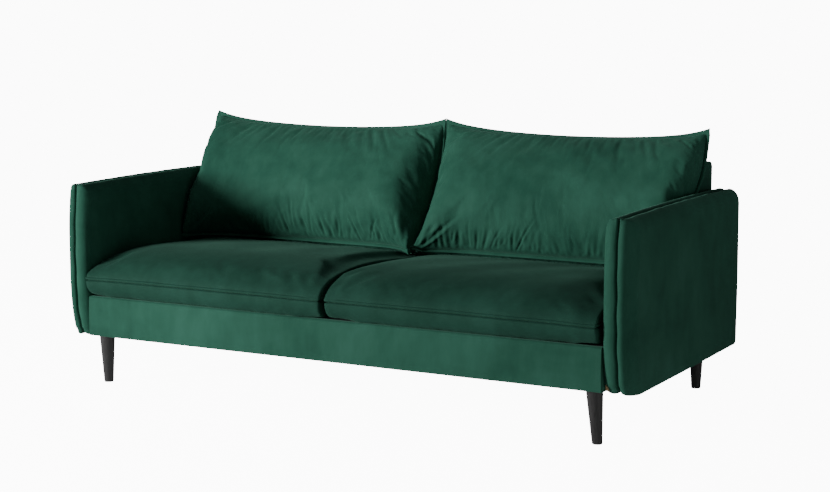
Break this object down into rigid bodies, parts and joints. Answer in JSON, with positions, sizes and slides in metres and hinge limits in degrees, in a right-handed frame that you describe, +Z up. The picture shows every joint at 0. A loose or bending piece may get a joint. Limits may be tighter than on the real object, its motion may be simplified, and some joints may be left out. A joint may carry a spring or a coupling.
{
  "type": "two-seat sofa",
  "caption": "Velvet sofa with loose box seat cushions, pillow-type back cushions, slim slab arms and tapered legs.",
  "frame": {"origin": "on the floor under the middle of the sofa's overall box", "axes": "+X across the sofa to the right as seen from the front, +Y from the front to the back, +Z up"},
  "size_m": [1.92, 0.914, 0.826],
  "materials": {
    "green_velvet": "soft velvet with a nap",
    "foam": "open-cell foam",
    "fibre_fill": "soft",
    "leg_wood": "satin black lacquer",
    "softwood": "planed",
    "plywood": "sanded",
    "hardboard": "smooth",
    "zinc_steel": "zinc plated",
    "spring_steel": "oiled wire",
    "zip_tape": "woven",
    "zip_metal": "satin",
    "glide_plastic": "matte",
    "black_cloth": "spunbonded cloth",
    "webbing": "elastic weave"
  },
  "bodies": {
    "frame": {"leg_front_left": "leg_wood", "leg_front_right": "leg_wood", "leg_rear_left": "leg_wood", "leg_rear_right": "leg_wood", "foot_glides": "glide_plastic", "leg_bolts": "zinc_steel", "leg_t_nuts": "zinc_steel", "corner_blocks": "softwood", "front_rail": "softwood", "rear_rail": "softwood", "left_end_rail": "softwood", "right_end_rail": "softwood", "centre_rail": "softwood", "spring_rails": "softwood", "left_seat_springs": "spring_steel", "right_seat_springs": "spring_steel", "spring_clips": "zinc_steel", "spring_tie_wires": "spring_steel", "platform_cloth": "black_cloth", "front_rail_cover": "green_velvet", "rear_rail_cover": "green_velvet", "dust_cover": "black_cloth", "dust_cover_staples": "zinc_steel", "left_arm_panel": "plywood", "left_arm_batten": "softwood", "left_arm_foam": "foam", "left_arm_cover": "green_velvet", "right_arm_panel": "plywood", "right_arm_batten": "softwood", "right_arm_foam": "foam", "right_arm_cover": "green_velvet", "arm_bolts": "zinc_steel", "arm_t_nuts": "zinc_steel", "back_ribs": "plywood", "back_top_rail": "softwood", "back_bottom_rail": "softwood", "back_upper_slat": "softwood", "back_lower_slat": "softwood", "back_webbing": "webbing", "back_board": "hardboard", "back_foam": "foam", "back_cover": "green_velvet", "back_screws": "zinc_steel"},
    "left_seat_cushion": {"left_seat_cover": "green_velvet", "left_seat_core": "foam", "left_seat_zip": "zip_tape"},
    "left_seat_slider": {"left_seat_zip_slider": "zip_metal"},
    "right_seat_cushion": {"right_seat_cover": "green_velvet", "right_seat_core": "foam", "right_seat_zip": "zip_tape"},
    "right_seat_slider": {"right_seat_zip_slider": "zip_metal"},
    "left_back_cushion": {"left_back_cushion_cover": "green_velvet", "left_back_cushion_core": "fibre_fill", "left_back_cushion_zip": "zip_tape"},
    "left_back_slider": {"left_back_cushion_zip_slider": "zip_metal"},
    "right_back_cushion": {"right_back_cushion_cover": "green_velvet", "right_back_cushion_core": "fibre_fill", "right_back_cushion_zip": "zip_tape"},
    "right_back_slider": {"right_back_cushion_zip_slider": "zip_metal"}
  },
  "joints": [
    {"name": "left_seat_cushion_pull_out", "type": "slide", "parent": "frame", "child": "left_seat_cushion", "axis": [0, -1, 0], "range_m": [0, 0.8]},
    {"name": "left_back_cushion_lift", "type": "slide", "parent": "frame", "child": "left_back_cushion", "axis": [0, 0, 1], "range_m": [0, 0.45]},
    {"name": "left_seat_zip", "type": "slide", "parent": "left_seat_cushion", "child": "left_seat_slider", "axis": [-1, 0, 0], "range_m": [0, 0.628]},
    {"name": "left_back_zip", "type": "slide", "parent": "left_back_cushion", "child": "left_back_slider", "axis": [-1, 0, 0], "range_m": [0, 0.628]},
    {"name": "right_seat_cushion_pull_out", "type": "slide", "parent": "frame", "child": "right_seat_cushion", "axis": [0, -1, 0], "range_m": [0, 0.8]},
    {"name": "right_back_cushion_lift", "type": "slide", "parent": "frame", "child": "right_back_cushion", "axis": [0, 0, 1], "range_m": [0, 0.45]},
    {"name": "right_seat_zip", "type": "slide", "parent": "right_seat_cushion", "child": "right_seat_slider", "axis": [1, 0, 0], "range_m": [0, 0.628]},
    {"name": "right_back_zip", "type": "slide", "parent": "right_back_cushion", "child": "right_back_slider", "axis": [1, 0, 0], "range_m": [0, 0.628]}
  ]
}
